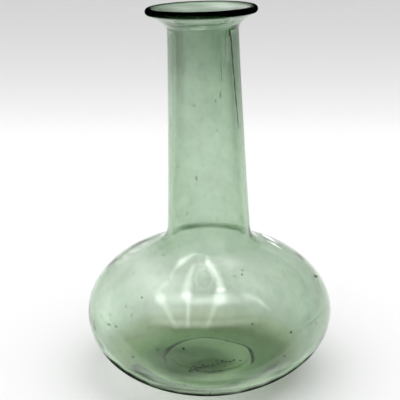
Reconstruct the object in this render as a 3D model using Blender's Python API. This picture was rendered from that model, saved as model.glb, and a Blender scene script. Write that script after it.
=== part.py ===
"""Free-blown glass perfume flask: squat body, tall leaning neck and thick flared lip.

The flask is one piece of glass. Its outline is drawn as a half section in the XZ plane, from the
middle of the base up the outside, over the lip and down the inside, and is spun round the Z axis.
The wall is then moved off its axis as the blower left it. Units are metres, +Z is up, the front
looks along -Y, and the origin is under the middle of the widest ring, on the surface that the
flask stands on.
"""
import math
from dataclasses import dataclass

import bmesh
import bpy
from mathutils import Vector

# Body: the lower and wider part, a flattened ball
BODY_RADIUS = 0.0504
BODY_HALF_HEIGHT = 0.0321
BODY_CENTRE_Z = 0.0272
BODY_WALL = 0.0014
BODY_LOW_WALL = 0.0016

# Base: a flat ring to stand on, and a low kick pushed up inside it, off to one side
PLATEAU_RADIUS = 0.0180
FOOT_INNER_RADIUS = 0.0202
FOOT_OUTER_RADIUS = 0.0250
FOOT_BLEND_Z = 0.0035
KICK_HEIGHT = 0.0011
KICK_DOME = 0.0008
KICK_DRIFT = (0.0012, 0.0024)
BASE_THICKNESS = 0.0038

# Floor: the inside of the base, which is flatter than the kick under it
FLOOR_DOME = 0.0008
FLOOR_STEP = 0.0003
FLOOR_STEP_RADIUS = 0.0160

# Neck: a slightly tapered tube that grows out of the shoulder
SHOULDER_RADIUS = 0.0225
NECK_FOOT_RADIUS = 0.0168
NECK_FOOT_Z = 0.0640
NECK_TOP_RADIUS = 0.0140
NECK_TOP_Z = 0.1428
NECK_TAPER_POWER = 1.3
NECK_FOOT_WALL = 0.00155
NECK_TOP_WALL = 0.0023
NECK_WALL_POWER = 4.0

# Lip: the neck flares out to a thick, fire-rounded rim
LIP_RADIUS = 0.0218
LIP_THICKNESS = 0.0029
LIP_CENTRE_Z = 0.1500
FLARE_SLOPE = math.radians(33)
FLARE_CORNER_RADIUS = 0.0142
FLARE_CORNER_Z = 0.1454
MOUTH_CORNER_RADIUS = 0.0126
MOUTH_CORNER_Z = 0.1464

# How the blowing left it out of true
NECK_LEAN = -0.0030
NECK_LEAN_FOOT = -0.0003
LIP_DRIFT = -0.0004
BODY_TILT = math.tan(math.radians(0.5))
BODY_TILT_FULL_Z = 0.0120
LIP_TILT = math.tan(math.radians(1.75))
LIP_TILT_START_Z = 0.1250
BASE_DRIFT = -0.0014
BORE_DRIFT = -0.0005
BORE_DRIFT_START_Z = 0.0850

# How finely the curves are divided
SEGMENTS = 60
PLATEAU_STEPS = 3
KICK_SLOPE_STEPS = 3
FOOT_BLEND_STEPS = 3
BODY_STEPS = 14
SHOULDER_STEPS = 4
NECK_STEPS = 6
FLARE_STEPS = 4
LIP_STEPS = 5
MERGE_DISTANCE = 1e-6

# Glass, as it looks by daylight
GLASS_COLOUR = (0.62, 0.78, 0.62, 1.0)
GLASS_ROUGHNESS = 0.04
GLASS_IOR = 1.5


@dataclass(frozen=True)
class Face:
    """One face of the glass wall, by how far it lies inside the outline at each place."""

    side: float
    base: float
    body: float
    body_low: float
    neck_foot: float
    neck_top: float

    def radius(self) -> float:
        """Return the radius of the body's ellipse."""
        return BODY_RADIUS - self.body

    def half_height(self, angle: float) -> float:
        """Return the ellipse's half height, below its middle or above it."""
        return BODY_HALF_HEIGHT - (self.body_low if angle < math.pi / 2 else self.body)

    def ellipse_point(self, angle: float) -> Vector:
        """Return the point of the body's ellipse at an angle from its lowest point."""
        x = self.radius() * math.sin(angle)
        return Vector((x, BODY_CENTRE_Z - self.half_height(angle) * math.cos(angle)))

    def tangent(self, angle: float) -> Vector:
        """Return the direction in which the ellipse runs at an angle."""
        x = self.radius() * math.cos(angle)
        return Vector((x, self.half_height(angle) * math.sin(angle)))

    def low_angle(self) -> float:
        """Return the angle at which the body leaves the ring that it stands on."""
        return math.acos((BODY_CENTRE_Z - FOOT_BLEND_Z - self.base) / self.half_height(0.0))

    def high_angle(self) -> float:
        """Return the angle at which the shoulder turns up into the neck."""
        return math.pi - math.asin((SHOULDER_RADIUS - self.neck_foot) / self.radius())


OUTSIDE = Face(side=0.0, base=0.0, body=0.0, body_low=0.0, neck_foot=0.0, neck_top=0.0)
INSIDE = Face(
    side=1.0, base=BASE_THICKNESS, body=BODY_WALL, body_low=BODY_LOW_WALL,
    neck_foot=NECK_FOOT_WALL, neck_top=NECK_TOP_WALL,
)


def clear_scene() -> None:
    """Remove every object, so that only the flask is left."""
    for obj in list(bpy.data.objects):
        bpy.data.objects.remove(obj, do_unlink=True)


def smooth_step(value: float, start: float, end: float) -> float:
    """Return 0 at start, 1 at end and a smooth ramp between them."""
    t = min(max((value - start) / (end - start), 0.0), 1.0)
    return t * t * (3.0 - 2.0 * t)


def bezier(start: Vector, corner: Vector, end: Vector, steps: int) -> list[Vector]:
    """Return a round corner from start to end, without its first point."""
    points = []
    for i in range(1, steps + 1):
        t = i / steps
        points.append(start * (1 - t) ** 2 + corner * (2 * t * (1 - t)) + end * t ** 2)
    return points


def tangent_at_z(point: Vector, direction: Vector, z: float) -> Vector:
    """Follow a tangent from a point until it reaches a height."""
    return point + direction * ((z - point.y) / direction.y)


def tangent_at_radius(point: Vector, direction: Vector, radius: float) -> Vector:
    """Follow a tangent from a point until it reaches a radius."""
    return point + direction * ((radius - point.x) / direction.x)


def kick_points(face: Face) -> list[Vector]:
    """Return the middle of the base, from the axis out to the ring.

    Outside it is the kick, a slightly domed plateau whose rim slopes down to the ring. Inside it is
    the floor, a wider dome with a lower step.
    """
    radii = [PLATEAU_RADIUS * i / PLATEAU_STEPS for i in range(PLATEAU_STEPS)]
    slope = FOOT_INNER_RADIUS - PLATEAU_RADIUS
    radii += [PLATEAU_RADIUS + slope * i / KICK_SLOPE_STEPS for i in range(KICK_SLOPE_STEPS + 1)]
    points = []
    for radius in radii:
        if face.side == OUTSIDE.side:
            rise = KICK_HEIGHT * (1 - smooth_step(radius, PLATEAU_RADIUS, FOOT_INNER_RADIUS))
            rise += KICK_DOME * (1 - smooth_step(radius, 0.0, PLATEAU_RADIUS))
        else:
            rise = FLOOR_STEP * (1 - smooth_step(radius, FLOOR_STEP_RADIUS, PLATEAU_RADIUS))
            rise += FLOOR_DOME * (1 - smooth_step(radius, 0.0, FOOT_INNER_RADIUS))
        points.append(Vector((radius, face.base + rise)))
    return points


def neck_points(face: Face) -> list[Vector]:
    """Return the neck without its first point.

    It tapers more at its foot than at its top, and its wall thickens only near the top.
    """
    points = []
    for i in range(1, NECK_STEPS + 1):
        t = i / NECK_STEPS
        taper = (NECK_FOOT_RADIUS - NECK_TOP_RADIUS) * (1 - t) ** NECK_TAPER_POWER
        wall = face.neck_foot + (face.neck_top - face.neck_foot) * t ** NECK_WALL_POWER
        z = NECK_FOOT_Z + (NECK_TOP_Z - NECK_FOOT_Z) * t
        points.append(Vector((NECK_TOP_RADIUS + taper - wall, z)))
    return points


def wall_points(face: Face) -> list[Vector]:
    """Return one face of the wall, from the edge of the foot to the top of the neck."""
    foot = Vector((FOOT_OUTER_RADIUS, face.base))
    neck_foot = Vector((NECK_FOOT_RADIUS - face.neck_foot, NECK_FOOT_Z))
    low = face.low_angle()
    high = face.high_angle()
    low_point = face.ellipse_point(low)
    high_point = face.ellipse_point(high)
    foot_corner = tangent_at_z(low_point, face.tangent(low), foot.y)
    neck_corner = tangent_at_radius(high_point, face.tangent(high), neck_foot.x)

    points = [foot]
    points += bezier(foot, foot_corner, low_point, FOOT_BLEND_STEPS)
    for i in range(1, BODY_STEPS + 1):
        points.append(face.ellipse_point(low + (high - low) * i / BODY_STEPS))
    points += bezier(high_point, neck_corner, neck_foot, SHOULDER_STEPS)
    points += neck_points(face)
    return points


def lip_points() -> list[Vector]:
    """Return the flare of the neck and its rounded lip, from outside to inside."""
    half = LIP_THICKNESS / 2
    centre = Vector((LIP_RADIUS - half, LIP_CENTRE_Z))
    across = half * Vector((math.sin(FLARE_SLOPE), -math.cos(FLARE_SLOPE)))
    outer_neck = Vector((NECK_TOP_RADIUS, NECK_TOP_Z))
    inner_neck = Vector((NECK_TOP_RADIUS - NECK_TOP_WALL, NECK_TOP_Z))
    flare_corner = Vector((FLARE_CORNER_RADIUS, FLARE_CORNER_Z))
    mouth_corner = Vector((MOUTH_CORNER_RADIUS, MOUTH_CORNER_Z))

    points = bezier(outer_neck, flare_corner, centre + across, FLARE_STEPS)
    for i in range(1, LIP_STEPS + 1):
        angle = math.pi * (i / LIP_STEPS - 0.5) + FLARE_SLOPE
        points.append(centre + half * Vector((math.cos(angle), math.sin(angle))))
    points += bezier(centre - across, mouth_corner, inner_neck, FLARE_STEPS)
    return points[:-1]


def half_section() -> list[tuple[Vector, float]]:
    """Return the half section from the axis under the base to the axis inside it.

    Each point comes with the side of the wall that it is on.
    """
    lip = lip_points()
    half = len(lip) // 2
    outer = kick_points(OUTSIDE) + wall_points(OUTSIDE) + lip[:half]
    inner = lip[half:] + (kick_points(INSIDE) + wall_points(INSIDE))[::-1]
    return [(p, OUTSIDE.side) for p in outer] + [(p, INSIDE.side) for p in inner]


def lean_at(z: float) -> float:
    """Return how far the glass stands off the axis, in X, at a height."""
    if z < BODY_CENTRE_Z:
        return BASE_DRIFT * ((BODY_CENTRE_Z - z) / BODY_CENTRE_Z) ** 2
    up_neck = max(z - NECK_FOOT_Z, 0.0) / (LIP_CENTRE_Z - NECK_FOOT_Z)
    lean = NECK_LEAN_FOOT * smooth_step(z, BODY_CENTRE_Z, NECK_FOOT_Z)
    lean += (NECK_LEAN - NECK_LEAN_FOOT) * up_neck
    return lean + LIP_DRIFT * smooth_step(z, NECK_TOP_Z, LIP_CENTRE_Z)


def bore_drift_at(z: float) -> float:
    """Return how far the bore of the neck stands off the middle of the neck."""
    rise = smooth_step(z, BORE_DRIFT_START_Z, NECK_TOP_Z)
    fall = 1.0 - smooth_step(z, NECK_TOP_Z, LIP_CENTRE_Z)
    return BORE_DRIFT * rise * fall


def tilt_at(z: float) -> float:
    """Return how steeply a level ring of the glass rises towards +X, at a height."""
    body = BODY_TILT * smooth_step(z, 0.0, BODY_TILT_FULL_Z)
    return body + (LIP_TILT - BODY_TILT) * smooth_step(z, LIP_TILT_START_Z, LIP_CENTRE_Z)


def kick_share_at(radius: float, z: float) -> float:
    """Return how far a place moves with the kick, from 1 on it to 0 at the ring's outer edge."""
    if z > BODY_CENTRE_Z:
        return 0.0
    return 1 - smooth_step(radius, FOOT_INNER_RADIUS, FOOT_OUTER_RADIUS)


def put_out_of_true(bm: bmesh.types.BMesh, side_layer: bmesh.types.BMLayerItem) -> None:
    """Lean the neck, tilt the body and the lip, and shift the base, the kick and the bore."""
    for vert in bm.verts:
        x, y, z = vert.co
        share = kick_share_at(math.hypot(x, y), z)
        vert.co.x += lean_at(z) + KICK_DRIFT[0] * share
        vert.co.y += KICK_DRIFT[1] * share
        vert.co.z += tilt_at(z) * x
        if vert[side_layer] > (OUTSIDE.side + INSIDE.side) / 2:
            vert.co.x += bore_drift_at(z)


def spin_section(
    bm: bmesh.types.BMesh, side_layer: bmesh.types.BMLayerItem, section: list[tuple[Vector, float]],
) -> None:
    """Turn the half section round the Z axis into a closed wall of glass."""
    verts = []
    for point, side in section:
        vert = bm.verts.new((point.x, 0.0, point.y))
        vert[side_layer] = side
        verts.append(vert)
    edges = [bm.edges.new(pair) for pair in zip(verts, verts[1:])]
    bmesh.ops.spin(
        bm, geom=verts + edges, cent=(0, 0, 0), axis=(0, 0, 1), angle=math.tau,
        steps=SEGMENTS, use_merge=True, use_duplicate=False,
    )
    bmesh.ops.remove_doubles(bm, verts=bm.verts, dist=MERGE_DISTANCE)
    bmesh.ops.recalc_face_normals(bm, faces=bm.faces)


def glass_material() -> bpy.types.Material:
    """Return pale sea-green glass."""
    material = bpy.data.materials.new("sea_green_glass")
    material.use_nodes = True
    shader = material.node_tree.nodes["Principled BSDF"]
    shader.inputs["Base Color"].default_value = GLASS_COLOUR
    shader.inputs["Roughness"].default_value = GLASS_ROUGHNESS
    shader.inputs["Metallic"].default_value = 0.0
    shader.inputs["IOR"].default_value = GLASS_IOR
    shader.inputs["Transmission Weight"].default_value = 1.0
    return material


def make_flask() -> bpy.types.Object:
    """Build the blown flask as one hollow solid."""
    bm = bmesh.new()
    side_layer = bm.verts.layers.float.new("side")
    spin_section(bm, side_layer, half_section())
    put_out_of_true(bm, side_layer)
    bm.verts.layers.float.remove(side_layer)
    mesh = bpy.data.meshes.new("flask")
    bm.to_mesh(mesh)
    bm.free()
    mesh.shade_smooth()
    mesh.set_sharp_from_angle(angle=math.radians(40))
    mesh.materials.append(glass_material())
    flask = bpy.data.objects.new("flask", mesh)
    bpy.context.collection.objects.link(flask)
    return flask


def main() -> None:
    """Build the model."""
    clear_scene()
    make_flask()


main()
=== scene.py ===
"""Looks of a free-blown glass perfume flask.

The flask is one piece of pale sea-green glass: a squat body with a pushed-in base, a tall neck
that leans a little to one side, and a thick fire-rounded lip. The glass is a true wall, closed
and see-through, with the small bubbles of hand-blown glass sealed in it. Lengths are in metres
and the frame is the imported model's own: +Z up, -Y towards the front, +X to the right.
"""
import logging
import math
import random
from collections.abc import Iterable, Iterator
from dataclasses import dataclass
from enum import Enum

import bmesh
import bpy
from bmesh.types import BMesh, BMLayerItem, BMVert
from bpy.types import Material, Node, NodeOutputs, NodeSocket, NodeTree, Object
from mathutils import Matrix, Vector, noise
from mathutils.bvhtree import BVHTree

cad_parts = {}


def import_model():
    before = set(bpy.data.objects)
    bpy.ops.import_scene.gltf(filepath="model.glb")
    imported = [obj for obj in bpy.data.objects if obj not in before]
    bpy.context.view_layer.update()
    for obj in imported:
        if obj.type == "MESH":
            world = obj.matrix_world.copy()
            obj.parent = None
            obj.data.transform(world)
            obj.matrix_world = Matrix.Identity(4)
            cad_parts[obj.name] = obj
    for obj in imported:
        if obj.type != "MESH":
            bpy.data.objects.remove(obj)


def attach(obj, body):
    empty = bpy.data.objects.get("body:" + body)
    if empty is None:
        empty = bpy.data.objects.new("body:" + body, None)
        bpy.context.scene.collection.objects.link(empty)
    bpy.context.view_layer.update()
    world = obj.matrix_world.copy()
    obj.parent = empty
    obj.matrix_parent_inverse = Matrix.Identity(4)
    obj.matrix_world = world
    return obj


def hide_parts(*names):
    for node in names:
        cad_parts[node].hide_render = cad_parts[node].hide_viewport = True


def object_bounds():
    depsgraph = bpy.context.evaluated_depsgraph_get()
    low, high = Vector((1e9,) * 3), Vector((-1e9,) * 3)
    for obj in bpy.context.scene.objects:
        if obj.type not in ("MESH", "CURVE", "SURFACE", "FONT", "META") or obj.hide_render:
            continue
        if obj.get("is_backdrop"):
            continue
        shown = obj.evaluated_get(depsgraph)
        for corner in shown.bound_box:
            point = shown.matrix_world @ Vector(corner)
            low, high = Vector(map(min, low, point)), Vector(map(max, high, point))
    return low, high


LOG = logging.getLogger("flask")
MERGE_DISTANCE = 1e-7
SKIN_DEPTH = 1e-5
UP = Vector((0.0, 0.0, 1.0))
WHITE = (1.0, 1.0, 1.0, 1.0)


class Side(Enum):
    """The two faces of the glass wall, by how much of its thickness lies outside of them."""

    OUTSIDE = 0.0
    INSIDE = 1.0


class Blend(Enum):
    """What a blend is of, by the word that the node has for it."""

    VALUE = "FLOAT"
    COLOUR = "RGBA"


def smooth_step(value: float, start: float, end: float) -> float:
    """Return 0 at start, 1 at end and a smooth ramp between them, whichever is the higher."""
    t = min(max((value - start) / (end - start), 0.0), 1.0)
    return t * t * (3.0 - 2.0 * t)


def between(start: float, end: float, share: float) -> float:
    """Return the value at a share of the way from one value to another."""
    return start + (end - start) * share


def shares(steps: int) -> list[float]:
    """Return the shares of a way that is gone in so many equal steps, after each of them."""
    return [i / steps for i in range(1, steps + 1)]


def swell(place: Vector) -> float:
    """Return smooth noise from about 0 to 1."""
    return 0.5 + 0.5 * noise.noise(place)


def bezier(start: Vector, corner: Vector, end: Vector, steps: int) -> list[Vector]:
    """Return a round corner.

    Args:
        start: where the corner begins, which isn't in the result.
        corner: the point that it bends towards.
        end: where it ends.
        steps: how many points it is given.

    Returns:
        The points after start, up to and with end.
    """
    return [start * (1 - t) ** 2 + corner * (2 * t * (1 - t)) + end * t ** 2 for t in shares(steps)]


def spin(bm: BMesh, verts: list[BMVert], steps: int) -> None:
    """Join the points of a half section in a row, and spin them once round the Z axis.

    Args:
        bm: the mesh that they are in.
        verts: the points, in order.
        steps: how many sides the round form gets.
    """
    edges = [bm.edges.new(pair) for pair in zip(verts, verts[1:])]
    bmesh.ops.spin(
        bm, geom=verts + edges, cent=(0, 0, 0), axis=UP, angle=math.tau,
        steps=steps, use_merge=True, use_duplicate=False,
    )


def new_object(name: str, bm: BMesh, material: Material) -> Object:
    """Turn a bmesh into a smooth object at the origin.

    Args:
        name: the piece's name.
        bm: its mesh, already in place. It is freed.
        material: its finish.

    Returns:
        The new object, linked to the scene.
    """
    mesh = bpy.data.meshes.new(name)
    bm.to_mesh(mesh)
    bm.free()
    mesh.shade_smooth()
    mesh.materials.append(material)
    obj = bpy.data.objects.new(name, mesh)
    bpy.context.scene.collection.objects.link(obj)
    return obj


def only_mirrored(card: Object) -> None:
    """Let nothing but the mirrored light of the glass see a card of the studio."""
    for ray in ("camera", "diffuse", "transmission", "shadow"):
        setattr(card, "visible_" + ray, False)
    card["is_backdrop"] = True


@dataclass
class FlaskForm:
    """The blown form: a half section that is spun, and how it stands out of true.

    The sizes are those of the solid part, so that the wall lies where the solid's wall lies. A
    point of the half section is a radius and a height.
    """

    body_radius: float = 0.05038
    body_half_height: float = 0.0321
    body_centre_z: float = 0.0272
    body_wall: float = 0.0014
    body_low_wall: float = 0.0016
    plateau_radius: float = 0.0180
    foot_inner_radius: float = 0.0202
    foot_outer_radius: float = 0.0250
    foot_blend_z: float = 0.0035
    kick_height: float = 0.0011
    kick_dome: float = 0.0008
    kick_drift: tuple = (0.0012, 0.0024)
    base_thickness: float = 0.0038
    floor_dome: float = 0.0008
    floor_step: float = 0.0003
    floor_step_radius: float = 0.0160
    shoulder_radius: float = 0.0225
    neck_foot_radius: float = 0.0168
    neck_foot_z: float = 0.0640
    neck_top_radius: float = 0.0140
    neck_top_z: float = 0.1428
    neck_taper_power: float = 1.3
    neck_foot_wall: float = 0.00155
    neck_top_wall: float = 0.0023
    neck_wall_power: float = 4.0
    lip_radius: float = 0.0218
    lip_thickness: float = 0.0029
    lip_centre_z: float = 0.1500
    flare_corner: tuple = (0.0142, 0.1454)
    flare_slope: float = math.radians(33)
    mouth_corner: tuple = (0.0126, 0.1464)
    neck_lean: float = -0.0030
    neck_lean_foot: float = -0.0003
    lip_drift: float = -0.0004
    body_tilt: float = math.tan(math.radians(0.5))
    body_tilt_full_z: float = 0.0120
    lip_tilt: float = math.tan(math.radians(1.75))
    lip_tilt_start_z: float = 0.1250
    base_drift: float = -0.0014
    bore_drift: float = -0.0005
    bore_drift_start_z: float = 0.0850
    # Where painted shade darkens the lip: its angles under and over the lip, and how far out it reaches.
    lip_shade_under: tuple = (-115.0, -90.0)
    lip_shade_over: tuple = (150.0, 125.0)
    lip_shade_reach: float = 1.01
    inside_shift: float = 50.0
    body_ripple: float = 0.00013
    body_ripple_length: float = 0.0130
    body_ripple_squash: float = 1.8
    body_fine_length: float = 0.0045
    body_fine_share: float = 0.20
    low_calm_z: float = 0.0200
    low_calm: float = 0.25
    stand_z: float = 0.0002
    base_ripple: float = 0.0004
    base_ripple_length: float = 0.0065
    base_ripple_top_z: float = 0.0105
    neck_ripple: float = 0.00014
    neck_ripple_length: float = 0.0040
    neck_ripple_stretch: float = 0.06
    neck_ripple_start_z: float = 0.0560
    neck_ripple_full_z: float = 0.0680
    lip_calm: float = 0.7
    kick_steps: int = 48
    foot_steps: int = 3
    foot_blend_steps: int = 8
    body_steps: int = 60
    shoulder_steps: int = 14
    neck_steps: int = 36
    flare_steps: int = 12
    lip_steps: int = 14

    def kick_points(self, side: Side) -> list[Vector]:
        """Return a face of the kick, from the axis out to the edge of the foot."""
        base = self.base_thickness * side.value
        points = []
        for i in range(self.kick_steps + 1):
            radius = self.foot_inner_radius * i / self.kick_steps
            if side is Side.OUTSIDE:
                rise = self.kick_height * smooth_step(radius, self.foot_inner_radius, self.plateau_radius)
                rise += self.kick_dome * smooth_step(radius, self.plateau_radius, 0.0)
            else:
                rise = self.floor_dome * smooth_step(radius, self.foot_inner_radius, 0.0)
                rise += self.floor_step * smooth_step(radius, self.plateau_radius, self.floor_step_radius)
            points.append(Vector((radius, base + rise)))
        for t in shares(self.foot_steps)[:-1]:
            points.append(Vector((between(self.foot_inner_radius, self.foot_outer_radius, t), base)))
        return points

    def neck_points(self, side: Side) -> list[Vector]:
        """Return a face of the neck without its first point.

        It tapers more at its foot than its top, and its wall thickens only near the top.
        """
        points = []
        for t in shares(self.neck_steps):
            taper = (1 - t) ** self.neck_taper_power
            radius = between(self.neck_top_radius, self.neck_foot_radius, taper)
            wall = between(self.neck_foot_wall, self.neck_top_wall, t ** self.neck_wall_power)
            z = between(self.neck_foot_z, self.neck_top_z, t)
            points.append(Vector((radius - wall * side.value, z)))
        return points

    def wall_points(self, side: Side) -> list[Vector]:
        """Return a face of the wall, from the edge of the foot to the top of the neck."""
        radius = self.body_radius - self.body_wall * side.value
        low_half = self.body_half_height - self.body_low_wall * side.value
        high_half = self.body_half_height - self.body_wall * side.value
        neck_wall = self.neck_foot_wall * side.value
        foot = Vector((self.foot_outer_radius, self.base_thickness * side.value))
        neck_foot = Vector((self.neck_foot_radius - neck_wall, self.neck_foot_z))

        def on_ellipse(angle: float) -> tuple[Vector, Vector]:
            """Return the body's point at an angle from its lowest point, and its way on there.

            Its half height is another below the widest ring than above.
            """
            half = low_half if angle < math.pi / 2 else high_half
            point = Vector((radius * math.sin(angle), self.body_centre_z - half * math.cos(angle)))
            return point, Vector((radius * math.cos(angle), half * math.sin(angle)))

        low = math.acos((self.body_centre_z - self.foot_blend_z - foot.y) / low_half)
        high = math.pi - math.asin((self.shoulder_radius - neck_wall) / radius)
        low_point, low_way = on_ellipse(low)
        high_point, high_way = on_ellipse(high)
        foot_corner = low_point + low_way * ((foot.y - low_point.y) / low_way.y)
        neck_corner = high_point + high_way * ((neck_foot.x - high_point.x) / high_way.x)

        points = [foot, *bezier(foot, foot_corner, low_point, self.foot_blend_steps)]
        points += [on_ellipse(between(low, high, t))[0] for t in shares(self.body_steps)]
        points += bezier(high_point, neck_corner, neck_foot, self.shoulder_steps)
        return points + self.neck_points(side)

    def lip_points(self) -> list[Vector]:
        """Return the flare of the neck and its rounded lip, from outside to inside."""
        half = self.lip_thickness / 2
        centre = Vector((self.lip_radius - half, self.lip_centre_z))
        outer_neck = Vector((self.neck_top_radius, self.neck_top_z))
        inner_neck = Vector((self.neck_top_radius - self.neck_top_wall, self.neck_top_z))
        slope = self.flare_slope
        down = half * Vector((math.sin(slope), -math.cos(slope)))

        points = bezier(outer_neck, Vector(self.flare_corner), centre + down, self.flare_steps)
        for t in shares(self.lip_steps):
            angle = math.pi * (t - 0.5) + slope
            points.append(centre + half * Vector((math.cos(angle), math.sin(angle))))
        points += bezier(centre - down, Vector(self.mouth_corner), inner_neck, self.flare_steps)
        return points[:-1]

    def half_section(self) -> list[tuple[Vector, Side]]:
        """Return the half section, from the axis under the base to the axis inside it."""
        outer, inner = (self.kick_points(side) + self.wall_points(side) for side in Side)
        lip = self.lip_points()
        half = len(lip) // 2
        section = [(point, Side.OUTSIDE) for point in outer + lip[:half]]
        return section + [(point, Side.INSIDE) for point in lip[half:] + inner[::-1]]

    def painted_lip_shade_at(self, point: Vector) -> float:
        """Return 1 where painted shade darkens the rounded lip, 0 off it and a short ramp between.

        The painted shade covers the outside of the lip, and goes over its top towards the mouth.
        """
        half = self.lip_thickness / 2
        out = math.hypot(point.x, point.y) - (self.lip_radius - half)
        up = point.z - self.lip_centre_z
        if math.hypot(out, up) > half * self.lip_shade_reach:
            return 0.0
        angle = math.degrees(math.atan2(up, out))
        return smooth_step(angle, *(self.lip_shade_under if angle < 0 else self.lip_shade_over))

    def ripple_at(self, point: Vector, side: Side) -> float:
        """Return how far a face of the wall is sunk by the uneven blowing.

        On the body the hollows run round it, and on the neck they are drawn out along it.
        """
        x, y, z = point
        if side is Side.INSIDE and z < self.base_ripple_top_z:
            level = smooth_step(math.hypot(x, y), self.foot_outer_radius, self.plateau_radius)
            return level * self.base_ripple * max(swell(point / self.base_ripple_length), 0.0)
        shift = Vector((0.0, 0.0, side.value * self.inside_shift))
        flat = Vector((x, y, z * self.body_ripple_squash))
        body = swell(flat / self.body_ripple_length + shift)
        body += self.body_fine_share * noise.noise(flat / self.body_fine_length + shift)
        tall = Vector((x, y, z * self.neck_ripple_stretch))
        neck = swell(tall / self.neck_ripple_length + shift)
        up = smooth_step(z, self.neck_ripple_start_z, self.neck_ripple_full_z)
        level = between(self.low_calm, 1.0, smooth_step(z, 0.0, self.low_calm_z))
        level *= 1 - self.lip_calm * smooth_step(z, self.neck_top_z, self.lip_centre_z)
        if side is Side.OUTSIDE:
            level *= smooth_step(z, self.stand_z, self.foot_blend_z)
        on_body = max(body, 0.0) * self.body_ripple * (1 - up)
        return level * (on_body + max(neck, 0.0) * self.neck_ripple * up)

    def lean_at(self, z: float) -> float:
        """Return how far the glass stands off the axis, in X, at a height."""
        if z < self.body_centre_z:
            return self.base_drift * ((self.body_centre_z - z) / self.body_centre_z) ** 2
        up_neck = max(z - self.neck_foot_z, 0.0) / (self.lip_centre_z - self.neck_foot_z)
        lean = self.neck_lean_foot * smooth_step(z, self.body_centre_z, self.neck_foot_z)
        lean += (self.neck_lean - self.neck_lean_foot) * up_neck
        return lean + self.lip_drift * smooth_step(z, self.neck_top_z, self.lip_centre_z)

    def tilt_at(self, z: float) -> float:
        """Return how steeply a level ring rises towards +X, at a height."""
        body = self.body_tilt * smooth_step(z, 0.0, self.body_tilt_full_z)
        lip = smooth_step(z, self.lip_tilt_start_z, self.lip_centre_z)
        return body + (self.lip_tilt - self.body_tilt) * lip

    def bore_drift_at(self, z: float) -> float:
        """Return how far the bore stands off the middle of the neck, at a height."""
        rise = smooth_step(z, self.bore_drift_start_z, self.neck_top_z)
        return self.bore_drift * rise * smooth_step(z, self.lip_centre_z, self.neck_top_z)

    def place(self, point: Vector, side: Side) -> Vector:
        """Move a point of the true form to where the blower left it.

        Args:
            point: a point of the spun form.
            side: the face of the wall that it is on.

        Returns:
            The point in the frame.
        """
        x, y, z = point
        rise = self.tilt_at(z) * x
        if z < self.body_centre_z:
            share = smooth_step(math.hypot(x, y), self.foot_outer_radius, self.foot_inner_radius)
            x += self.kick_drift[0] * share
            y += self.kick_drift[1] * share
        if side is Side.INSIDE:
            x += self.bore_drift_at(z)
        return Vector((x + self.lean_at(z), y, z + rise))


@dataclass(frozen=True)
class Ramp:
    """A smooth ramp: where it starts and ends, and what it gives there and beyond."""

    start: float
    end: float
    first: float = 0.0
    last: float = 1.0


class Board:
    """A node tree that is wired up step by step."""

    def __init__(self, tree: NodeTree) -> None:
        """Take the tree to work on."""
        self.tree = tree

    def feed(self, node: Node, values: dict[str | int, object]) -> None:
        """Give inputs of a node, by their names or numbers, a link or a plain value each."""
        for key, value in values.items():
            if isinstance(value, NodeSocket):
                self.tree.links.new(value, node.inputs[key])
            else:
                node.inputs[key].default_value = value

    def node(self, kind: str, values: dict[str | int, object], **settings: object) -> NodeOutputs:
        """Add a node with its inputs fed and its properties set, and return its outputs."""
        node = self.tree.nodes.new("ShaderNode" + kind)
        for key, value in settings.items():
            setattr(node, key, value)
        self.feed(node, values)
        return node.outputs

    def where(self, frame: str = "Object") -> NodeSocket:
        """Return the place of what is shaded."""
        return self.node("TexCoord", {})[frame]

    def axes(self, place: NodeSocket) -> tuple[NodeSocket, ...]:
        """Return the X, Y and Z of a place."""
        return tuple(self.node("SeparateXYZ", {"Vector": place}))

    def ramp(self, value: NodeSocket, ramp: Ramp) -> NodeSocket:
        """Return what a ramp gives for a value."""
        ends = {"From Min": ramp.start, "From Max": ramp.end, "To Min": ramp.first, "To Max": ramp.last}
        return self.node("MapRange", {"Value": value, **ends}, interpolation_type="SMOOTHSTEP")["Result"]

    def noise(self, place: NodeSocket, scale: float, detail: float) -> NodeSocket:
        """Return cloudy noise from 0 to 1, of so many clouds to the metre."""
        return self.node("TexNoise", {"Vector": place, "Scale": scale, "Detail": detail})["Fac"]

    def sum(self, operation: str, first: object, second: object) -> NodeSocket:
        """Return the result of a sum on two values or sockets."""
        return self.node("Math", {0: first, 1: second}, operation=operation)["Value"]

    def product(self, *values: object) -> object:
        """Return the product of values and sockets."""
        total = values[0]
        for value in values[1:]:
            total = self.sum("MULTIPLY", total, value)
        return total

    def measure(self, operation: str, place: object, other: tuple) -> NodeSocket:
        """Return a number that follows from two places, such as how far apart they are."""
        return self.node("VectorMath", {0: place, 1: other}, operation=operation)["Value"]

    def mix(self, factor: object, first: object, second: object, kind: Blend = Blend.VALUE) -> NodeSocket:
        """Return a blend of two values, colours or sockets."""
        inputs = {"Factor": factor, "A": first, "B": second}
        return self.node("Mix", inputs, data_type=kind.value)["Result"]

    def colour(self, channels: Iterable[object]) -> NodeSocket:
        """Return the colour that has these three channels."""
        return self.node("CombineColor", dict(zip(("Red", "Green", "Blue"), channels)))["Color"]


class Finish(Board):
    """The board of a new material, with its shader."""

    def __init__(self, name: str) -> None:
        """Start a material."""
        self.material = bpy.data.materials.new(name)
        self.material.use_nodes = True
        super().__init__(self.material.node_tree)
        self.shader = self.tree.nodes["Principled BSDF"]
        self.output = self.tree.nodes["Material Output"]


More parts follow.
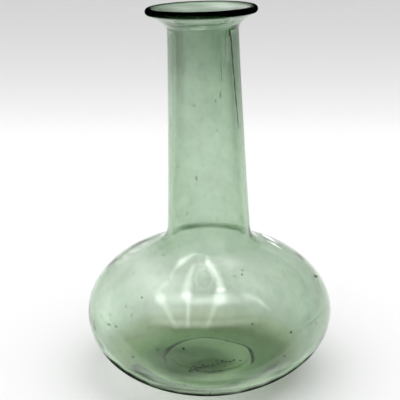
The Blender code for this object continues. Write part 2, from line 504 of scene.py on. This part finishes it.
@dataclass(frozen=True)
class SeaGreenGlass:
    """Clear pale sea-green glass, as one shader with plain values.

    A weathered film in clouds and mottles dims what passes through. Painted shade darkens the top
    and the sides of the neck, the body's right side and the outside of the lip. The ramps say how
    much is left at each place.
    """

    ior: float = 1.5
    absorption_density: float = 300.0
    absorption_colour: tuple = (0.30, 0.60, 0.283, 1.0)
    roughness: float = 0.0
    clearness: float = 0.985
    film: float = 0.97
    # Painted shade at the top of the neck.
    neck_top_shade: float = 0.84
    neck_rise: Ramp = Ramp(0.1130, 0.1400)
    flare_fall: Ramp = Ramp(0.1430, 0.1465, 1.0, 0.0)
    lip_shade: float = 0.02
    cloud_scale: float = 90.0
    cloud_detail: float = 4.0
    clouds: Ramp = Ramp(0.40, 0.75, 1.0, 0.91)
    mottle_scale: float = 420.0
    mottle_detail: float = 3.0
    mottles: Ramp = Ramp(0.55, 0.75, 1.0, 0.90)
    # Painted shade on the body's right side and on the sides of the neck.
    body_right_shade: Ramp = Ramp(0.0400, 0.0480, 1.0, 0.86)
    neck_left_shade: Ramp = Ramp(-0.0125, -0.0085, 0.86, 1.0)
    neck_right_shade: Ramp = Ramp(0.0072, 0.0108, 1.0, 0.70)
    neck_sides_shade_rise: Ramp = Ramp(0.0680, 0.1400)
    olive: tuple = (0.98, 0.98, 0.80)
    olive_fall: Ramp = Ramp(0.0055, 0.0120, 1.0, 0.0)

    def painted_lip_shade(self, board: Board) -> NodeSocket:
        """Return what the painted shade on the lip leaves of the light, on the outside of the glass
        alone.
        """
        painted_lip_shade = board.node("Attribute", {}, attribute_name="painted_lip_shade")["Fac"]
        outside = board.sum("SUBTRACT", 1.0, board.node("NewGeometry", {})["Backfacing"])
        return board.mix(board.product(painted_lip_shade, outside), 1.0, self.lip_shade)

    def film_and_shade_left(self, board: Board) -> NodeSocket:
        """Return what the film and the painted shade leave of the light at each place."""
        place = board.where()
        x, _, z = board.axes(place)
        # Painted shade: the top of the neck is darker.
        on_neck = board.product(board.ramp(z, self.neck_rise), board.ramp(z, self.flare_fall))
        clouds = board.noise(place, self.cloud_scale, self.cloud_detail)
        mottles = board.noise(place, self.mottle_scale, self.mottle_detail)
        # Painted shade: the sides of the neck are darker, more so higher up.
        neck_sides_shade = board.product(board.ramp(x, self.neck_left_shade), board.ramp(x, self.neck_right_shade))
        # Clouds and mottles are the weathered film; the body's right side gets painted shade.
        return board.product(
            board.mix(on_neck, self.film, self.neck_top_shade),
            board.ramp(clouds, self.clouds),
            board.ramp(mottles, self.mottles),
            board.ramp(x, self.body_right_shade),
            board.mix(board.ramp(z, self.neck_sides_shade_rise), 1.0, neck_sides_shade),
        )

    def material(self) -> Material:
        """Return the material, which turns olive low down."""
        board = Finish("sea_green_glass")
        left = board.product(self.film_and_shade_left(board), self.painted_lip_shade(board))
        _, _, z = board.axes(board.where())
        low = board.ramp(z, self.olive_fall)
        channels = [board.product(left, board.mix(low, 1.0, tone)) for tone in self.olive]
        board.feed(board.shader, {
            "Base Color": board.colour(channels),
            "Roughness": self.roughness,
            "IOR": self.ior,
            "Transmission Weight": self.clearness,
        })
        absorption = {"Color": self.absorption_colour, "Density": self.absorption_density}
        volume = board.node("VolumeAbsorption", absorption)["Volume"]
        board.feed(board.output, {"Volume": volume})
        return board.material


@dataclass(frozen=True)
class Speck:
    """Something small that is sealed in the wall, where the photograph's frame shows it.

    It runs from one pixel to another and has a width in pixels.
    """

    start: tuple
    end: tuple
    width: float


@dataclass(frozen=True)
class Laid:
    """Something long and round on the glass: its place, directions and half sizes."""

    place: Vector
    normal: Vector
    along: Vector
    half_length: float
    half_width: float


@dataclass
class View:
    """The photograph's view, turned up from straight down, and what its pixels see."""

    focal_length: float = 90.9
    sensor_width: float = 36.0
    turn: float = math.radians(73.33)
    place: tuple = (-0.0039, -0.392, 0.1912)
    near_clip: float = 0.01
    frame_size: int = 400
    pixel_on_glass: float = 0.00039

    def ray(self, x: float, y: float) -> Vector:
        """Return the direction that a pixel looks in."""
        middle = self.frame_size / 2
        pixel = self.sensor_width / self.frame_size / self.focal_length
        across = Vector(((x - middle) * pixel, (middle - y) * pixel, -1.0))
        return (Matrix.Rotation(self.turn, 3, "X") @ across).normalized()

    def camera(self) -> None:
        """Set the camera."""
        data = bpy.data.cameras.new("camera")
        data.lens = self.focal_length
        data.sensor_width = self.sensor_width
        data.clip_start = self.near_clip
        camera = bpy.data.objects.new("camera", data)
        bpy.context.scene.collection.objects.link(camera)
        camera.location = self.place
        camera.rotation_euler = (self.turn, 0.0, 0.0)
        bpy.context.scene.camera = camera


@dataclass
class Wall:
    """The finished wall as a surface that can be looked at and felt."""

    tree: BVHTree
    view: View

    def seen(self, x: float, y: float) -> tuple[Vector, Vector]:
        """Return the place and the outward direction of the glass that a pixel sees."""
        place, normal, _, _ = self.tree.ray_cast(Vector(self.view.place), self.view.ray(x, y))
        return place, normal

    def beside(self, angle: float, height: float) -> tuple[Vector, Vector]:
        """Return the place and the outward direction of the glass at an angle and a height."""
        out = Vector((math.cos(angle), math.sin(angle), 0.0))
        place, normal, _, _ = self.tree.ray_cast(out + UP * height, -out)
        return place, normal

    def lay(self, speck: Speck) -> Laid:
        """Lay a speck on the glass that its pixels see."""
        start, end = (self.seen(*pixel)[0] for pixel in (speck.start, speck.end))
        place, normal = self.seen(*(Vector(speck.start) + Vector(speck.end)) / 2)
        half_width = speck.width * self.view.pixel_on_glass / 2
        half_length = max((end - start).length / 2, half_width)
        return Laid(place, normal, end - start, half_length, half_width)

    def seal(self, bm: BMesh, laid: Laid, fineness: int, share: float = math.inf) -> None:
        """Seal something in the middle of the wall, with a half depth of at most a share of it."""
        normal = laid.normal
        inner, _, _, thickness = self.tree.ray_cast(laid.place - normal * SKIN_DEPTH, -normal)
        sizes = (laid.half_length, laid.half_width, min(laid.half_width, thickness * share))
        add_speck(bm, (laid.place + inner) / 2, laid.along, normal, sizes, fineness)


def add_speck(
    bm: BMesh, middle: Vector, along: Vector, normal: Vector, sizes: Iterable[float], fineness: int,
) -> list[BMVert]:
    """Add a long round speck.

    Args:
        bm: the mesh to add it to.
        middle: its middle.
        along: the direction that it is long in.
        normal: the direction through the wall.
        sizes: its half length, half width and half depth.
        fineness: how fine its sphere is.

    Returns:
        Its vertices.
    """
    along = (along - normal * along.dot(normal)).normalized()
    axes = Matrix((along, normal.cross(along), normal)).transposed()
    verts = bmesh.ops.create_icosphere(bm, subdivisions=fineness, radius=1.0)["verts"]
    for vert in verts:
        vert.co = middle + axes @ Vector([c * size for c, size in zip(vert.co, sizes)])
    return verts


@dataclass
class Bubbles:
    """The seeds and the drawn-out blisters that are sealed in the wall, as true hollows."""

    view: View
    shown: tuple = (
        Speck((262, 236), (271, 240), 2.0),
        Speck((270, 240), (282, 246), 2.2),
        Speck((268, 236), (276, 240), 1.4),
        Speck((127, 255), (134, 252), 2.0),
        Speck((162, 255), (165, 254), 1.8),
        Speck((156, 349), (159, 351), 2.0),
        Speck((131, 357), (134, 358), 2.0),
        Speck((283, 357), (286, 356), 2.0),
        Speck((290, 333), (293, 332), 2.0),
        Speck((251, 324), (254, 324), 2.0),
        Speck((107, 324), (110, 325), 1.8),
        Speck((114, 326), (117, 327), 1.8),
        Speck((314, 276), (318, 276), 3.2),
        Speck((170, 120), (170, 126), 1.4),
        Speck((221, 92), (221, 99), 1.4),
        Speck((196, 176), (196, 181), 1.5),
        Speck((226, 34), (227, 58), 1.2),
        Speck((221, 60), (223, 84), 1.0),
    )
    shown_fineness: int = 2
    count: int = 120
    seed: int = 11
    lowest: float = 0.006
    highest: float = 0.140
    low_bias: float = 2.2
    neck_z: float = 0.060
    smallest: float = 0.00012
    largest: float = 0.00030
    small_bias: float = 3.0
    longest: float = 3.0
    fineness: int = 1
    most_of_wall: float = 0.30

    def strewn(self, wall: Wall) -> Iterator[Laid]:
        """Yield the bubbles that lie all round the wall, more of them low down."""
        chance = random.Random(self.seed)
        for _ in range(self.count):
            angle = chance.uniform(0.0, math.tau)
            height = between(self.lowest, self.highest, chance.random() ** self.low_bias)
            place, normal = wall.beside(angle, height)
            round_body = Vector((math.sin(angle), -math.cos(angle), 0.0))
            half_width = between(self.smallest, self.largest, chance.random() ** self.small_bias)
            half_length = half_width * chance.uniform(1.0, self.longest)
            yield Laid(place, normal, round_body if height < self.neck_z else UP, half_length, half_width)

    def seal_in(self, wall_mesh: BMesh) -> None:
        """Seal the bubbles that the photograph shows in the wall, and others all round it."""
        wall = Wall(BVHTree.FromBMesh(wall_mesh), self.view)
        bm = bmesh.new()
        for speck in self.shown:
            wall.seal(bm, wall.lay(speck), self.shown_fineness, self.most_of_wall)
        for laid in self.strewn(wall):
            wall.seal(bm, laid, self.fineness, self.most_of_wall)
        bmesh.ops.reverse_faces(bm, faces=bm.faces)
        hollows = bpy.data.meshes.new("hollows")
        bm.to_mesh(hollows)
        bm.free()
        wall_mesh.from_mesh(hollows)
        bpy.data.meshes.remove(hollows)


@dataclass(frozen=True)
class DarkGrit:
    """Dark rough grit, brown in some grains and black-green in others."""

    green: tuple = (0.012, 0.022, 0.012, 1.0)
    brown: tuple = (0.050, 0.045, 0.024, 1.0)
    roughness: float = 0.75
    grain_scale: float = 900.0
    grain_detail: float = 2.0
    grains: Ramp = Ramp(0.35, 0.65)

    def material(self) -> Material:
        """Return the material."""
        board = Finish("dark_grit")
        grains = board.noise(board.where(), self.grain_scale, self.grain_detail)
        colour = board.mix(board.ramp(grains, self.grains), self.green, self.brown, Blend.COLOUR)
        board.feed(board.shader, {"Base Color": colour, "Roughness": self.roughness})
        return board.material


@dataclass
class Grit:
    """Dark grains of unmelted sand that are sealed in the wall, and the streak down its neck."""

    wall: Wall
    finish: DarkGrit
    shown: tuple = (
        Speck((140.5, 297), (142.5, 297), 2.2),
        Speck((241, 274), (243, 274), 1.8),
        Speck((315, 276), (317, 276), 2.4),
        Speck((182, 349), (184.5, 349), 2.6),
        Speck((128, 255), (133, 253), 1.3),
        Speck((266, 238), (273, 242), 1.0),
        Speck((231.0, 27), (232.8, 46), 2.4),
        Speck((232.2, 41), (234.0, 62), 2.6),
        Speck((233.4, 57), (235.2, 78), 2.4),
        Speck((234.8, 73), (236.4, 94), 2.1),
        Speck((236.0, 89), (237.8, 110), 1.7),
        Speck((237.4, 105), (239.4, 130), 1.2),
    )
    count: int = 14
    seed: int = 5
    lowest: float = 0.008
    highest: float = 0.052
    smallest: float = 0.00012
    largest: float = 0.00028
    length: float = 1.5
    fineness: int = 1

    def strewn(self) -> Iterator[Laid]:
        """Yield a few grains all round the wall."""
        chance = random.Random(self.seed)
        for _ in range(self.count):
            angle = chance.uniform(0.0, math.tau)
            place, normal = self.wall.beside(angle, chance.uniform(self.lowest, self.highest))
            size = chance.uniform(self.smallest, self.largest)
            yield Laid(place, normal, normal.orthogonal(), size * self.length, size)

    def build(self) -> Object:
        """Seal the grains that the photograph shows in the wall, and a few others round it."""
        bm = bmesh.new()
        for laid in [self.wall.lay(speck) for speck in self.shown] + list(self.strewn()):
            self.wall.seal(bm, laid, self.fineness)
        grit = new_object("sealed_grit", bm, self.finish.material())
        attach(grit, "root")
        return grit


@dataclass
class PontilScar:
    """The rough crumbs that the iron rod left under the kick when the flask was cracked off it.

    The path that they lie along starts where they are thickest and largest.
    """

    wall: Wall
    finish: DarkGrit
    path: tuple = (
        (-0.0085, -0.0126), (-0.0052, -0.0084), (-0.0004, -0.0056), (0.0060, -0.0020), (0.0130, -0.0022),
    )
    below: float = -0.01
    count: int = 64
    seed: int = 3
    start_bias: float = 1.3
    spread_x: float = 0.0006
    spread_y: float = 0.0015
    spread_fall: float = 0.8
    smallest: float = 0.00030
    largest: float = 0.00090
    small_bias: float = 2.0
    size_fall: float = 0.6
    stretch: tuple = (0.6, 1.3)
    flatness: float = 0.5
    roughness: float = 0.14
    turn_lift: float = 0.1
    fineness: int = 1
    lowest: float = 0.0002

    def on_path(self, along: float) -> Vector:
        """Return the point at a share of the path's length."""
        path = [Vector(place) for place in self.path]
        steps = along * (len(path) - 1)
        first = min(int(steps), len(path) - 2)
        return path[first].lerp(path[first + 1], steps - first)

    def build(self) -> Object:
        """Strew the crumbs along the path under the base."""
        bm = bmesh.new()
        chance = random.Random(self.seed)
        for _ in range(self.count):
            along = chance.random() ** self.start_bias
            x, y = self.on_path(along)
            x += chance.gauss(0.0, self.spread_x)
            y += chance.gauss(0.0, self.spread_y) * (1 - self.spread_fall * along)
            place, normal, _, _ = self.wall.tree.ray_cast(Vector((x, y, self.below)), UP)
            large = chance.random() ** self.small_bias * (1 - self.size_fall * along)
            size = between(self.smallest, self.largest, large)
            depth = size * self.flatness
            sizes = [size * chance.uniform(*self.stretch) for _ in range(2)] + [depth]
            turn = Vector((chance.gauss(0, 1), chance.gauss(0, 1), self.turn_lift))
            for vert in add_speck(bm, place + normal * depth, turn, normal, sizes, self.fineness):
                vert.co += Vector([chance.gauss(0.0, self.roughness * size) for _ in range(3)])
                vert.co.z = max(vert.co.z, self.lowest)
        scar = new_object("pontil_scar", bm, self.finish.material())
        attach(scar, "root")
        return scar


@dataclass
class GlassWall:
    """The visible glass of the flask, one closed wall."""

    form: FlaskForm
    finish: SeaGreenGlass
    bubbles: Bubbles
    segments: int = 240

    def build(self) -> Object:
        """Spin the wall, put it out of true, seal the bubbles in it and dress it."""
        bm = bmesh.new()
        side_layer = bm.verts.layers.float.new("side")
        verts = []
        for point, side in self.form.half_section():
            vert = bm.verts.new((point.x, 0.0, point.y))
            vert[side_layer] = side.value
            verts.append(vert)
        spin(bm, verts, self.segments)
        bmesh.ops.remove_doubles(bm, verts=bm.verts, dist=MERGE_DISTANCE)
        bmesh.ops.recalc_face_normals(bm, faces=bm.faces)
        bm.normal_update()
        # Each vertex gets how much painted shade darkens the lip there.
        lip_shade_layer = bm.verts.layers.float.new("painted_lip_shade")
        for vert in bm.verts:
            side = Side(round(vert[side_layer]))
            vert[lip_shade_layer] = self.form.painted_lip_shade_at(vert.co)
            sunk = vert.co - vert.normal * self.form.ripple_at(vert.co, side)
            vert.co = self.form.place(sunk, side)
        bm.verts.layers.float.remove(side_layer)
        self.bubbles.seal_in(bm)
        flask = new_object("glass_flask", bm, self.finish.material())
        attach(flask, "root")
        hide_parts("flask")
        return flask


class Stroke:
    """A pale stroke that the body mirrors, where the photograph's frame shows it."""

    def __init__(self, *points: tuple[float, float, float, float]) -> None:
        """Take its points: a pixel's x and y, a width in pixels, and a radiance."""
        self.points = points


@dataclass(frozen=True)
class Pool:
    """A soft pale patch that the body mirrors, by its middle pixel and half sizes in pixels."""

    middle: tuple
    half_sizes: tuple
    radiance: float


@dataclass
class Glow:
    """The lights that the body mirrors, which nothing else sees.

    Each hangs close over the glass, where the photograph's view finds it mirrored.
    """

    wall: Wall
    reach: float = 0.0012
    pool_rows: int = 14
    stroke_steps: int = 4
    stroke_sides: int = 8
    tint: tuple = (0.80, 1.0, 0.76, 1.0)
    whitening: Ramp = Ramp(0.0120, 0.0560)
    strokes: tuple = (
        # The left side of the bright window.
        Stroke((174, 270, 5, 1.1), (181, 262, 10, 6.8), (188, 257, 8, 5.2), (195, 254, 6, 3.8),
               (204, 256, 5, 0.4)),
        Stroke((174, 268, 5, 0.8), (171, 277, 6, 1.9), (164, 286, 6, 1.9), (153, 294, 5, 0.4)),
        Stroke((155, 291, 8, 0.4), (160, 298, 19, 8.2), (165, 306, 10, 3.6), (171, 318, 8, 3.4),
               (178, 329, 6, 2.2)),
        # The bars down its middle and its right side.
        Stroke((194, 264, 6, 2.2), (190, 275, 10, 4.5), (187, 287, 14, 6), (187, 297, 16, 8.2)),
        Stroke((187, 294, 13, 6.8), (188, 305, 6, 4.5), (188, 316, 6, 5.2), (188, 329, 6, 1.5)),
        Stroke((207, 255, 6, 2.2), (208, 263, 10, 6.8), (214, 271, 10, 6.8), (219, 280, 11, 6.8),
               (221, 291, 14, 9)),
        Stroke((221, 288, 13, 8.2), (221, 299, 19, 9.8), (215, 306, 10, 3.8), (211, 317, 8, 3.4),
               (206, 329, 6, 2.4)),
        Stroke((238, 293, 5, 0.8), (247, 295, 10, 2.6), (256, 299, 8, 3.4), (263, 304, 6, 4.5),
               (271, 311, 5, 0.8)),
        # The bars across it.
        Stroke((188, 302, 6, 3), (198, 301, 8, 3), (208, 301, 10, 1.9), (218, 298, 13, 4.5)),
        Stroke((158, 300, 13, 3), (172, 297, 13, 1.1), (183, 296, 13, 3.8), (189, 297, 10, 4.5)),
        Stroke((168, 300, 12, 1.5), (198, 300, 17, 5.5), (224, 300, 17, 3.6), (248, 299, 13, 2.4),
               (262, 302, 8, 0.3)),
        Stroke((150, 322, 10, 1.2), (180, 324, 11, 4.5), (210, 324, 11, 3.6), (245, 322, 10, 2.0),
               (265, 320, 8, 0.3)),
        # The swirl at its top.
        Stroke((204, 268, 3, 2), (211, 272, 3, 2.4), (213, 280, 3, 2.4), (209, 288, 3, 2),
               (203, 290, 3, 1.5)),
        Stroke((203, 290, 3, 1.5), (197, 287, 3, 2), (195, 279, 3, 2.4), (198, 271, 3, 2.4),
               (204, 268, 3, 2)),
        # The left edge of the shoulder, and the short marks on its right.
        Stroke((114, 267, 7, 0.2), (130, 254, 8, 0.8), (146, 244.5, 8, 0.8), (162, 238, 6, 0.2)),
        Stroke((262, 234.5, 2.4, 0.4), (269, 238, 2.6, 3.4), (278, 243.5, 2, 0.3)),
        Stroke((267, 240.5, 2.4, 0.4), (274, 244, 2.6, 2.8), (283, 250, 2, 0.3)),
        # The bands along the bottom of the body.
        Stroke((130, 362, 9, 0.5), (157, 377, 14, 2.4), (184, 386, 13, 1.8), (210, 389, 13, 1.8)),
        Stroke((210, 389, 13, 1.8), (236, 387, 13, 2.2), (263, 377, 14, 2.8), (290, 362, 9, 0.5)),
        Stroke((95.5, 331, 5, 0.3), (106.5, 350.5, 5, 0.8), (125.5, 368.6, 5, 1.1), (153, 383.3, 5, 1.1)),
        Stroke((153, 383.3, 5, 1.1), (180.5, 391, 5, 0.6), (205, 393, 5, 0.2)),
        Stroke((240, 388.5, 5, 0.3), (262, 383.2, 6, 0.9), (283, 373, 6, 1.2), (302, 359.5, 6, 0.7),
               (314, 345, 5, 0.1)),
    )
    pools: tuple = (
        # The window and what lies close round it.
        Pool((174, 291), (34, 26), 1.6),
        Pool((205, 283), (18, 28), 1.2),
        Pool((228, 297), (8, 9), 2.0),
        Pool((232, 264), (14, 12), 1.4),
        Pool((184, 252), (14, 9), 1.4),
        Pool((212, 263), (46, 22), 2.4),
        Pool((190, 314), (54, 18), 3.4),
        Pool((235, 318), (34, 12), 1.2),
        Pool((255, 285), (50, 45), 1.4),
        # The left of the body, and the foot of the neck.
        Pool((150, 286), (48, 44), 4.4),
        Pool((108, 306), (15, 36), 2.3),
        Pool((122, 318), (26, 26), 2.4),
        Pool((148, 334), (26, 12), 0.8),
        Pool((211, 226), (24, 5), 2.6),
        # The bottom of the body.
        Pool((160, 361), (34, 13), 1.6),
        Pool((210, 376), (44, 9), 1.2),
        # The mouth and the top of the neck.
        Pool((185, 8), (28, 4), 4.0),
        Pool((222, 6), (32, 4.5), 6.0),
        Pool((200, 24), (14, 3), 0.6),
    )

    def add_stroke(self, bm: BMesh, layer: BMLayerItem, stroke: Stroke) -> None:
        """Lay a stroke flat in the picture, brightest along its middle."""
        rows = []
        last = len(stroke.points) - 2
        for i in range(self.stroke_steps * (last + 1) + 1):
            span = min(i // self.stroke_steps, last)
            start, end = (Vector(point) for point in stroke.points[span:span + 2])
            x, y, width, radiance = start.lerp(end, i / self.stroke_steps - span)
            across = Vector((start.y - end.y, end.x - start.x)).normalized() * width / 2
            row = []
            for k in range(self.stroke_sides + 1):
                side = 2 * k / self.stroke_sides - 1
                vert = bm.verts.new((x + across.x * side, y + across.y * side, 0.0))
                vert[layer] = radiance * (1 - side ** 2) ** 2
                row.append(vert)
            rows.append(row)
        for near, far in zip(rows, rows[1:]):
            for k in range(self.stroke_sides):
                bm.faces.new((near[k], near[k + 1], far[k + 1], far[k]))

    def add_pool(self, bm: BMesh, layer: BMLayerItem, pool: Pool) -> None:
        """Lay a pool flat in the picture, fading out towards its edge."""
        rows = self.pool_rows
        verts = bmesh.ops.create_grid(bm, x_segments=rows, y_segments=rows, size=1.0)["verts"]
        for vert in verts:
            fade = max(1.0 - vert.co.x ** 2 - vert.co.y ** 2, 0.0)
            vert[layer] = pool.radiance * fade ** 2
        bmesh.ops.scale(bm, verts=verts, vec=(*pool.half_sizes, 1.0))
        bmesh.ops.translate(bm, verts=verts, vec=(*pool.middle, 0.0))

    def material(self) -> Material:
        """Return a light that can be seen through, tinted low down and white above."""
        board = Finish("glow")
        board.tree.nodes.remove(board.shader)
        _, _, z = board.axes(board.where())
        colour = board.mix(board.ramp(z, self.whitening), self.tint, WHITE, Blend.COLOUR)
        strength = board.node("Attribute", {}, attribute_name="glow")["Fac"]
        lamp = board.node("Emission", {"Color": colour, "Strength": strength})["Emission"]
        clear = board.node("BsdfTransparent", {})["BSDF"]
        board.feed(board.output, {"Surface": board.node("AddShader", {0: lamp, 1: clear})["Shader"]})
        return board.material

    def build(self) -> Object:
        """Lay out every light in the picture, and hang each where the body mirrors it."""
        bm = bmesh.new()
        layer = bm.verts.layers.float.new("glow")
        for stroke in self.strokes:
            self.add_stroke(bm, layer, stroke)
        for pool in self.pools:
            self.add_pool(bm, layer, pool)
        stray = []
        for vert in bm.verts:
            place, normal = self.wall.seen(vert.co.x, vert.co.y)
            if place is None:
                stray.append(vert)
            else:
                vert.co = place + self.wall.view.ray(vert.co.x, vert.co.y).reflect(normal) * self.reach
        bmesh.ops.delete(bm, geom=stray, context="VERTS")
        glow = new_object("studio_glow", bm, self.material())
        only_mirrored(glow)
        return glow


@dataclass
class Studio:
    """A plain pale sweep under soft light, with the cards that the glass mirrors."""

    form: FlaskForm
    floor_half_width: float = 3.0
    floor_front: float = -3.0
    floor_gap: float = 0.0001
    sweep_start: float = 0.50
    sweep_radius: float = 0.35
    sweep_top: float = 0.50
    sweep_steps: int = 16
    paper_falloff_shade: Ramp = Ramp(0.40, 0.80, 0.86, 0.5332)
    paper_roughness: float = 0.9
    pool_place: tuple = (-0.008, 0.000, 0.0)
    pool_inner: Ramp = Ramp(0.012, 0.022, 0.04, 1.0)
    pool_outer: Ramp = Ramp(0.022, 0.044, 0.40, 0.0)
    flag_half_width: float = 1.5
    flag_depth: float = 2.0
    flag_back: float = -0.055
    flag_disc_radius: float = 0.050
    flag_disc_sides: int = 64
    flag_z: float = -0.00005
    flag_black: tuple = (0.01, 0.01, 0.01, 1.0)
    wing_inner: float = 0.25
    wing_back: float = 0.12
    collar_gap: float = 0.0012
    collar_from: float = -80.0
    collar_to: float = 115.0
    collar_steps: int = 12
    collar_sides: int = 96
    window: Ramp = Ramp(-0.65, -0.15, 0.15, 0.05)
    above: Ramp = Ramp(0.15, 0.45, 0.10, 1.0)
    front: Ramp = Ramp(-0.90, -0.30, 0.03, 1.0)
    through: Ramp = Ramp(0.30, 0.60, 1.0, 0.04)
    key_direction: tuple = (-0.35, -0.25, 1.0)
    key: Ramp = Ramp(-0.2, 0.95, 0.78, 1.49)
    bounces: int = 24
    mirror_bounces: int = 8

    def paper(self) -> Material:
        """Return the sweep's matt paper, with painted shade that greys it towards its far end.

        Round the flask it has the pool of light that the glass gathers on it.
        """
        board = Finish("pale_paper")
        place = board.where()
        _, y, _ = board.axes(place)
        away = board.measure("DISTANCE", place, self.pool_place)
        board.feed(board.shader, {
            # The grey towards the far end is painted shade, for light that falls off with distance.
            "Base Color": board.colour([board.ramp(y, self.paper_falloff_shade)] * 3),
            "Emission Strength": board.product(
                board.ramp(away, self.pool_inner), board.ramp(away, self.pool_outer),
            ),
            "Emission Color": WHITE,
            "Roughness": self.paper_roughness,
            "Specular IOR Level": 0.0,
        })
        return board.material

    def sweep(self) -> Object:
        """Build the pale paper sweep that the flask stands on."""
        bm = bmesh.new()
        floor = -self.floor_gap
        profile = [(self.floor_front, floor), (self.sweep_start, floor)]
        for t in shares(self.sweep_steps):
            angle = math.radians(90) * t
            profile.append((
                self.sweep_start + self.sweep_radius * math.sin(angle),
                floor + self.sweep_radius * (1 - math.cos(angle)),
            ))
        profile.append((self.sweep_start + self.sweep_radius, self.sweep_top))
        verts = [bm.verts.new((-self.floor_half_width, y, z)) for y, z in profile]
        edges = [bm.edges.new(pair) for pair in zip(verts, verts[1:])]
        out = bmesh.ops.extrude_edge_only(bm, edges=edges)
        moved = [g for g in out["geom"] if isinstance(g, BMVert)]
        bmesh.ops.translate(bm, verts=moved, vec=(2 * self.floor_half_width, 0, 0))
        sweep = new_object("studio_sweep", bm, self.paper())
        sweep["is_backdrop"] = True
        return sweep

    def add_sheet(self, bm: BMesh, left: float, right: float, front: float, back: float) -> None:
        """Add a level rectangle to the flag."""
        corners = ((left, front), (right, front), (right, back), (left, back))
        bm.faces.new([bm.verts.new((*corner, self.flag_z)) for corner in corners])

    def flag(self) -> Object:
        """Lay a black card before the flask that only its mirrored light sees."""
        bm = bmesh.new()
        wide = self.flag_half_width
        self.add_sheet(bm, -wide, wide, self.flag_back - self.flag_depth, self.flag_back)
        self.add_sheet(bm, -wide, -self.wing_inner, self.flag_back, self.wing_back)
        self.add_sheet(bm, self.wing_inner, wide, self.flag_back, self.wing_back)
        # A black disc under the flask gives its mirrored light painted shade, for the shadow under the
        # body.
        bmesh.ops.create_circle(
            bm, cap_ends=True, segments=self.flag_disc_sides, radius=self.flag_disc_radius,
            matrix=Matrix.Translation((0, 0, self.flag_z)),
        )
        self.collar(bm)
        board = Finish("black_card")
        board.feed(board.shader, {"Base Color": self.flag_black, "Specular IOR Level": 0.0})
        card = new_object("studio_flag", bm, board.material)
        only_mirrored(card)
        return card

    def collar(self, bm: BMesh) -> None:
        """Add a black collar round the lip, close to it, so that the lip mirrors no light: painted shade
        on the lip.
        """
        form = self.form
        half = form.lip_thickness / 2
        reach = half + self.collar_gap
        verts = []
        for t in (0.0, *shares(self.collar_steps)):
            angle = math.radians(between(self.collar_from, self.collar_to, t))
            radius = form.lip_radius - half + reach * math.cos(angle)
            verts.append(bm.verts.new((radius, 0.0, form.lip_centre_z + reach * math.sin(angle))))
        spin(bm, verts, self.collar_sides)
        for vert in bm.verts:
            if vert.co.z > form.neck_top_z:
                vert.co = form.place(vert.co, Side.OUTSIDE)

    def world(self) -> None:
        """Light the scene.

        What the glass mirrors is a dim room with a bright window on its left. What reaches the
        paper is a soft light from above, a little to the left.
        """
        world = bpy.data.worlds.new("soft_room")
        bpy.context.scene.world = world
        world.use_nodes = True
        board = Board(world.node_tree)
        way = board.where("Generated")
        x, y, z = board.axes(way)
        ramps = ((x, self.window), (z, self.above), (y, self.front))
        room = board.product(*(board.ramp(value, ramp) for value, ramp in ramps))
        key = board.measure("DOT_PRODUCT", way, Vector(self.key_direction).normalized())
        path = board.node("LightPath", {})
        lit = board.sum("GREATER_THAN", path["Diffuse Depth"], 0.5)
        seen = board.mix(path["Is Transmission Ray"], room, board.ramp(z, self.through))
        board.feed(world.node_tree.nodes["Background"], {
            "Strength": board.mix(lit, seen, board.ramp(key, self.key)),
            "Color": WHITE,
        })

    def tone(self) -> None:
        """Set how the light is carried and shown."""
        bpy.context.scene.view_settings.view_transform = "Standard"
        cycles = bpy.context.scene.cycles
        cycles.max_bounces = self.bounces
        cycles.transmission_bounces = self.bounces
        cycles.glossy_bounces = self.mirror_bounces
        cycles.caustics_refractive = True
        cycles.caustics_reflective = True

    def build(self) -> None:
        """Build the whole studio."""
        self.sweep()
        self.flag()
        self.world()
        self.tone()


def main() -> None:
    """Build the flask and the studio, and report each piece."""
    logging.basicConfig(level=logging.INFO, format="%(message)s")
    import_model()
    cad_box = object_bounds()
    form = FlaskForm()
    view = View()
    flask = GlassWall(form, SeaGreenGlass(), Bubbles(view)).build()
    LOG.info("%s: %d faces", flask.name, len(flask.data.polygons))
    Studio(form).build()
    faces = [face.vertices for face in flask.data.polygons]
    tree = BVHTree.FromPolygons([vert.co for vert in flask.data.vertices], faces)
    wall = Wall(tree, view)
    for piece in (Grit(wall, DarkGrit()).build(), PontilScar(wall, DarkGrit()).build()):
        LOG.info("%s: %d faces", piece.name, len(piece.data.polygons))
    Glow(wall).build()
    view.camera()
    boxes = {"cad": cad_box, "visual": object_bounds()}
    {k: [list(corner) for corner in v] for k, v in boxes.items()}


if __name__ == "__main__":
    main()
